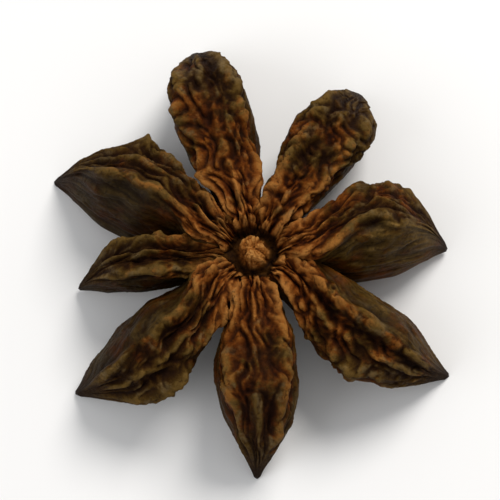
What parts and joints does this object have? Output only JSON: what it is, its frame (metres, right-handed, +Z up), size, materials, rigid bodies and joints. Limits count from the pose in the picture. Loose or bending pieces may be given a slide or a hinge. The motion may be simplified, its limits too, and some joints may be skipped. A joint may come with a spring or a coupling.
{
  "type": "star anise",
  "caption": "Dried star anise fruit: boat-shaped follicles round a short column, keels and stalk scar up, sutures split below, loose seeds inside.",
  "frame": {"origin": "under the middle of the bounding box, on the surface that the beaks rest on", "axes": "+Z up through the stalk scar, -Y along the follicle that points to the viewer, +X to the right"},
  "size_m": [0.0302, 0.0332, 0.0088],
  "materials": {
    "pericarp": "matte",
    "seed_coat": "gloss"
  },
  "bodies": {
    "root": {"star": "pericarp", "seed_1": "seed_coat", "seed_2": "seed_coat", "seed_3": "seed_coat", "seed_4": "seed_coat", "seed_5": "seed_coat", "seed_6": "seed_coat", "seed_8": "seed_coat"}
  },
  "joints": []
}
